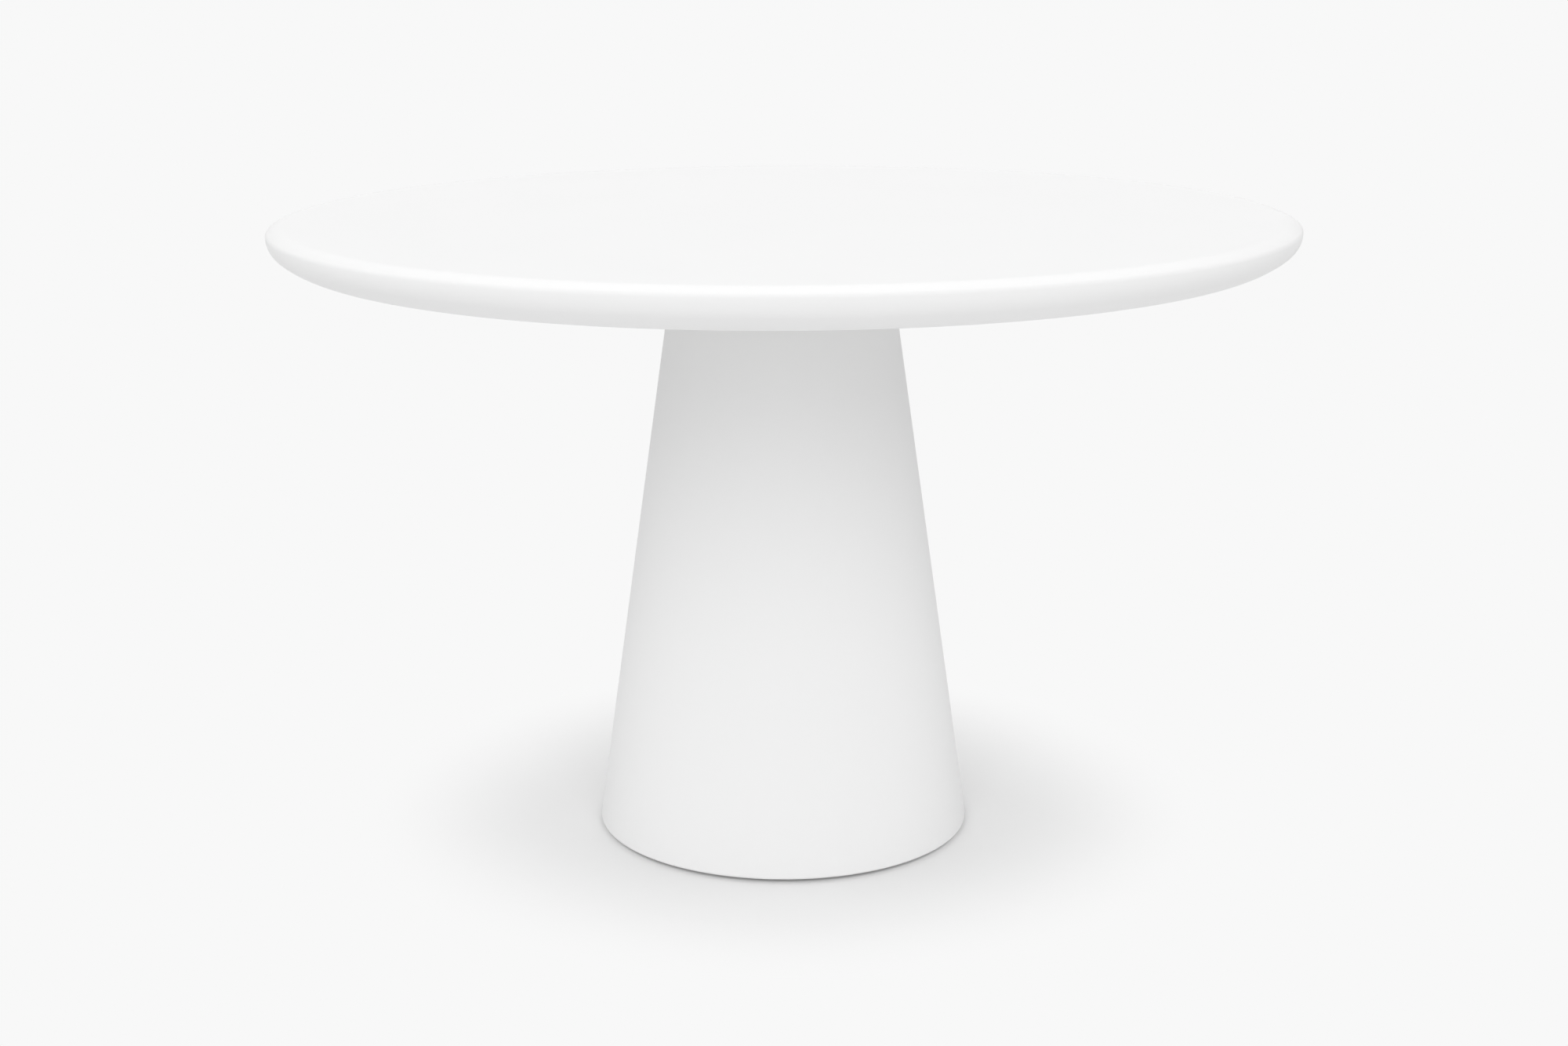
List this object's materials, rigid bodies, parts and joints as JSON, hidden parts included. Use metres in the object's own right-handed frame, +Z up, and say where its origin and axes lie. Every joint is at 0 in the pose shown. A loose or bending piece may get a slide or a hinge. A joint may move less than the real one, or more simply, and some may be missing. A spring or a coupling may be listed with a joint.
{
  "type": "round pedestal table",
  "caption": "Round dining table: a soft-edged white lacquered top on a hollow cone pedestal around a steel column, standing on screw glides.",
  "frame": {"origin": "on the floor, on the axis that the top, the cone and the column share", "axes": "+Z up along that axis; +X through the first glide"},
  "size_m": [1.1998, 1.2, 0.75],
  "materials": {
    "top_lacquer": "satin white lacquer on fibreboard",
    "cone_lacquer": "satin white lacquer on a moulded glass-fibre shell",
    "white_powder_coat": "fine-textured white powder coat",
    "black_paint": "black primer on welded steel",
    "ballast_steel": "flame-cut and oiled",
    "zinc_steel": "bright zinc plated",
    "foam": "closed-cell foam",
    "raw_board": "raw fibreboard",
    "stained_board": "black stained fibreboard",
    "glide_plastic": "moulded nylon"
  },
  "bodies": {
    "table_body": {"tabletop": "top_lacquer", "top_inserts": "zinc_steel", "mounting_plate": "white_powder_coat", "top_bolts": "zinc_steel", "top_bolt_washers": "zinc_steel", "column_tube": "black_paint", "column_gussets": "black_paint", "column_foot_plate": "black_paint", "pedestal_cone": "cone_lacquer", "cone_gasket": "foam", "cone_lower_ring": "raw_board", "base_board": "stained_board", "ballast_plate": "ballast_steel", "base_bolts": "zinc_steel", "base_bolt_washers": "zinc_steel", "ring_screws": "zinc_steel", "glide_nuts": "zinc_steel"},
    "foot_1": {"glide_pad_1": "glide_plastic"},
    "screw_1": {"glide_stud_1": "zinc_steel"},
    "foot_2": {"glide_pad_2": "glide_plastic"},
    "screw_2": {"glide_stud_2": "zinc_steel"},
    "foot_3": {"glide_pad_3": "glide_plastic"},
    "screw_3": {"glide_stud_3": "zinc_steel"},
    "foot_4": {"glide_pad_4": "glide_plastic"},
    "screw_4": {"glide_stud_4": "zinc_steel"},
    "foot_5": {"glide_pad_5": "glide_plastic"},
    "screw_5": {"glide_stud_5": "zinc_steel"},
    "foot_6": {"glide_pad_6": "glide_plastic"},
    "screw_6": {"glide_stud_6": "zinc_steel"}
  },
  "joints": [
    {"name": "glide_1_drop", "type": "slide", "parent": "table_body", "child": "foot_1", "axis": [0, 0, -1], "range_m": [0, 0.012]},
    {"name": "glide_1_turn", "type": "hinge", "parent": "foot_1", "child": "screw_1", "pos_m": [0.18094, 0, 0], "axis": [0, 0, -1], "range_deg": [0, 3456]},
    {"name": "glide_2_drop", "type": "slide", "parent": "table_body", "child": "foot_2", "axis": [0, 0, -1], "range_m": [0, 0.012]},
    {"name": "glide_2_turn", "type": "hinge", "parent": "foot_2", "child": "screw_2", "pos_m": [0.09047, 0.15669, 0], "axis": [0, 0, -1], "range_deg": [0, 3456]},
    {"name": "glide_3_drop", "type": "slide", "parent": "table_body", "child": "foot_3", "axis": [0, 0, -1], "range_m": [0, 0.012]},
    {"name": "glide_3_turn", "type": "hinge", "parent": "foot_3", "child": "screw_3", "pos_m": [-0.09047, 0.15669, 0], "axis": [0, 0, -1], "range_deg": [0, 3456]},
    {"name": "glide_4_drop", "type": "slide", "parent": "table_body", "child": "foot_4", "axis": [0, 0, -1], "range_m": [0, 0.012]},
    {"name": "glide_4_turn", "type": "hinge", "parent": "foot_4", "child": "screw_4", "pos_m": [-0.18094, 0, 0], "axis": [0, 0, -1], "range_deg": [0, 3456]},
    {"name": "glide_5_drop", "type": "slide", "parent": "table_body", "child": "foot_5", "axis": [0, 0, -1], "range_m": [0, 0.012]},
    {"name": "glide_5_turn", "type": "hinge", "parent": "foot_5", "child": "screw_5", "pos_m": [-0.09047, -0.15669, 0], "axis": [0, 0, -1], "range_deg": [0, 3456]},
    {"name": "glide_6_drop", "type": "slide", "parent": "table_body", "child": "foot_6", "axis": [0, 0, -1], "range_m": [0, 0.012]},
    {"name": "glide_6_turn", "type": "hinge", "parent": "foot_6", "child": "screw_6", "pos_m": [0.09047, -0.15669, 0], "axis": [0, 0, -1], "range_deg": [0, 3456]}
  ],
  "couplings": [
    {"joint": "glide_1_turn", "follows": "glide_1_drop", "rad_per_m": 5026.5},
    {"joint": "glide_2_turn", "follows": "glide_2_drop", "rad_per_m": 5026.5},
    {"joint": "glide_3_turn", "follows": "glide_3_drop", "rad_per_m": 5026.5},
    {"joint": "glide_4_turn", "follows": "glide_4_drop", "rad_per_m": 5026.5},
    {"joint": "glide_5_turn", "follows": "glide_5_drop", "rad_per_m": 5026.5},
    {"joint": "glide_6_turn", "follows": "glide_6_drop", "rad_per_m": 5026.5}
  ]
}
